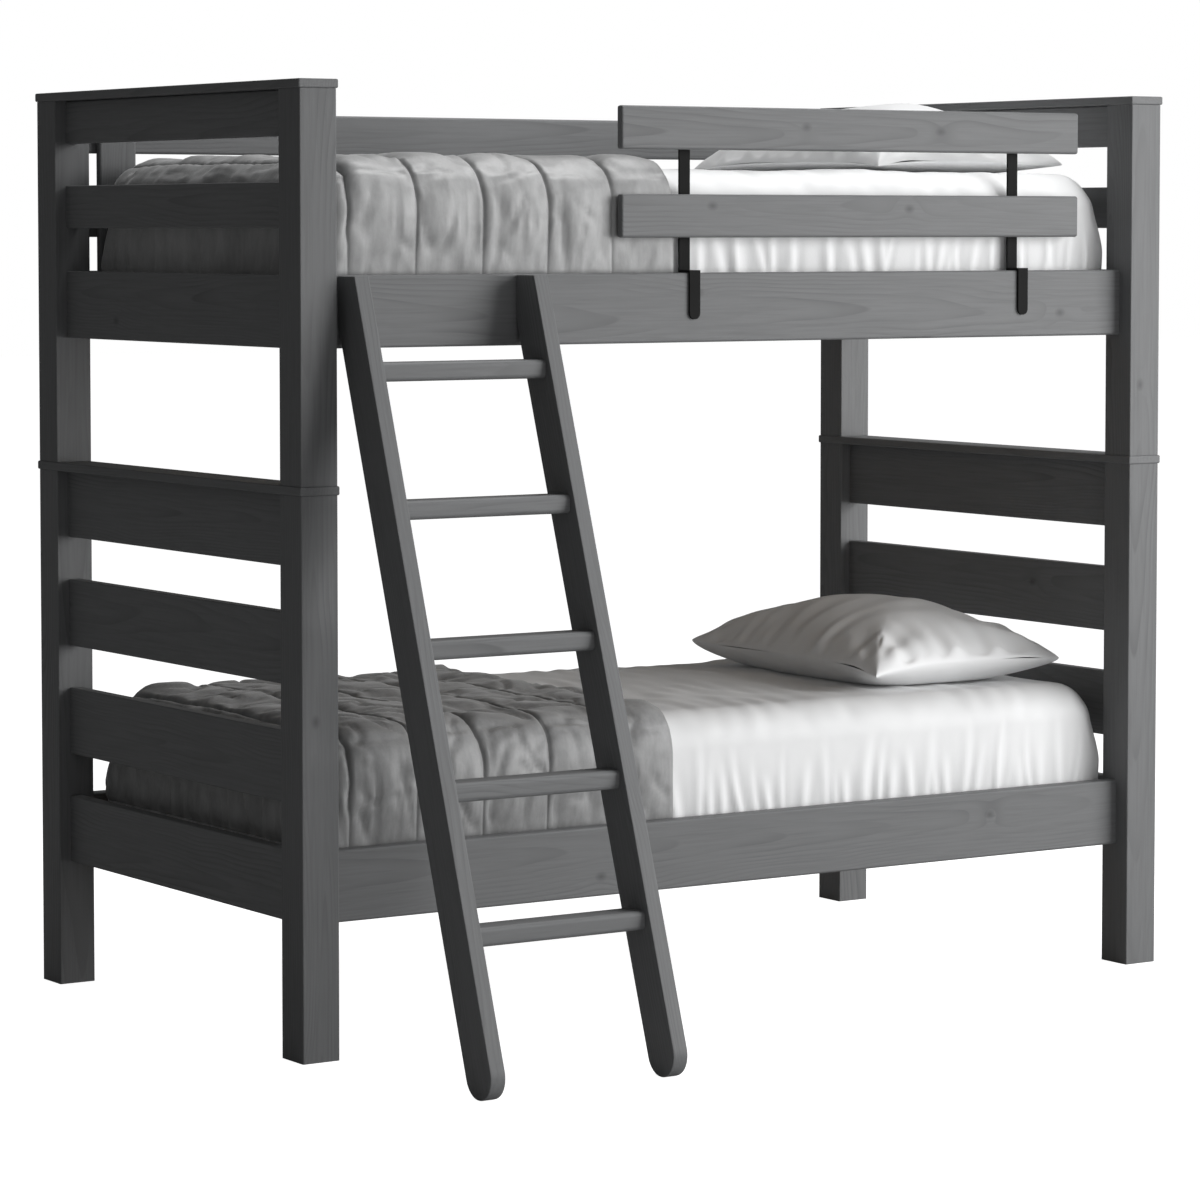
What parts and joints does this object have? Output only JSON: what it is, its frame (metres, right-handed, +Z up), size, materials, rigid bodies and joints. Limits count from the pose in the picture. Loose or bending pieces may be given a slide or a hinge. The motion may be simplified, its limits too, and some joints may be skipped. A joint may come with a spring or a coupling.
{
  "type": "bunk bed with ladder",
  "caption": "Stackable twin bunk bed of dark stained timber with slatted ends, a leaning ladder, a lift-off front guard rail, slat decks and made-up bedding.",
  "frame": {"origin": "centre of the footprint of the whole bed with its ladder, on the floor", "axes": "+X from the foot end to the pillow end, +Y from the ladder side to the rear, +Z up"},
  "size_m": [2.089, 1.6186, 1.844],
  "materials": {
    "stained_pine": "dark grey stain under a satin clear coat, fine straight grain with a few knots",
    "slat_wood": "bare planed pine slats stapled to woven webbing",
    "black_steel": "satin black powder coat on flat bar",
    "zinc_steel": "zinc plated steel",
    "cotton_sheet": "white woven cotton fitted sheet over the mattress",
    "light_quilt": "light grey channel-quilted fabric with a soft sheen",
    "dark_quilt": "mid grey channel-quilted fabric with a soft sheen",
    "pillow_fabric": "white satin-weave cotton pillowcase"
  },
  "bodies": {
    "lower_bed": {"lower_post_front_foot": "stained_pine", "stacking_pin_front_foot": "zinc_steel", "lower_post_rear_foot": "stained_pine", "stacking_pin_rear_foot": "zinc_steel", "lower_cap_foot": "stained_pine", "lower_foot_board_1": "stained_pine", "lower_foot_board_2": "stained_pine", "lower_foot_board_3": "stained_pine", "lower_foot_board_4": "stained_pine", "lower_post_front_head": "stained_pine", "stacking_pin_front_head": "zinc_steel", "lower_post_rear_head": "stained_pine", "stacking_pin_rear_head": "zinc_steel", "lower_cap_head": "stained_pine", "lower_head_board_1": "stained_pine", "lower_head_board_2": "stained_pine", "lower_head_board_3": "stained_pine", "lower_head_board_4": "stained_pine", "lower_rail_front": "stained_pine", "lower_rail_rear": "stained_pine", "lower_slat_roll": "slat_wood"},
    "upper_bed": {"upper_post_front_foot": "stained_pine", "upper_post_rear_foot": "stained_pine", "upper_cap_foot": "stained_pine", "upper_foot_board_1": "stained_pine", "upper_foot_board_2": "stained_pine", "upper_foot_board_3": "stained_pine", "rear_guard_upright_foot": "stained_pine", "upper_post_front_head": "stained_pine", "upper_post_rear_head": "stained_pine", "upper_cap_head": "stained_pine", "upper_head_board_1": "stained_pine", "upper_head_board_2": "stained_pine", "upper_head_board_3": "stained_pine", "rear_guard_upright_head": "stained_pine", "upper_rail_front": "stained_pine", "upper_rail_rear": "stained_pine", "upper_slat_roll": "slat_wood", "rear_guard_board_1": "stained_pine", "rear_guard_board_2": "stained_pine", "ladder_stringer_left": "stained_pine", "ladder_bolt_left": "zinc_steel", "ladder_stringer_right": "stained_pine", "ladder_bolt_right": "zinc_steel", "ladder_rung_1": "stained_pine", "ladder_rung_2": "stained_pine", "ladder_rung_3": "stained_pine", "ladder_rung_4": "stained_pine", "ladder_rung_5": "stained_pine"},
    "guard_rail": {"guard_board_1": "stained_pine", "guard_board_2": "stained_pine", "guard_bracket_1": "black_steel", "guard_bracket_2": "black_steel"},
    "lower_mattress_body": {"lower_mattress": "cotton_sheet"},
    "lower_comforter_body": {"lower_comforter": "dark_quilt"},
    "lower_pillow_body": {"lower_pillow": "pillow_fabric"},
    "upper_mattress_body": {"upper_mattress": "cotton_sheet"},
    "upper_comforter_body": {"upper_comforter": "light_quilt"},
    "upper_pillow_body": {"upper_pillow": "pillow_fabric"}
  },
  "joints": [
    {"name": "upper_bed_unstack", "type": "slide", "parent": "lower_bed", "child": "upper_bed", "axis": [0, 0, 1], "range_m": [0, 0.06]},
    {"name": "guard_rail_lift", "type": "slide", "parent": "upper_bed", "child": "guard_rail", "axis": [0, 0, 1], "range_m": [0, 0.12]},
    {"name": "lower_mattress_lift", "type": "slide", "parent": "lower_bed", "child": "lower_mattress_body", "axis": [0, 0, 1], "range_m": [0, 0.15]},
    {"name": "upper_mattress_lift", "type": "slide", "parent": "upper_bed", "child": "upper_mattress_body", "axis": [0, 0, 1], "range_m": [0, 0.15]},
    {"name": "lower_comforter_lift", "type": "slide", "parent": "lower_mattress_body", "child": "lower_comforter_body", "axis": [0, 0, 1], "range_m": [0, 0.3]},
    {"name": "upper_comforter_lift", "type": "slide", "parent": "upper_mattress_body", "child": "upper_comforter_body", "axis": [0, 0, 1], "range_m": [0, 0.3]},
    {"name": "lower_pillow_lift", "type": "slide", "parent": "lower_mattress_body", "child": "lower_pillow_body", "axis": [0, 0, 1], "range_m": [0, 0.2]},
    {"name": "upper_pillow_lift", "type": "slide", "parent": "upper_mattress_body", "child": "upper_pillow_body", "axis": [0, 0, 1], "range_m": [0, 0.2]}
  ]
}
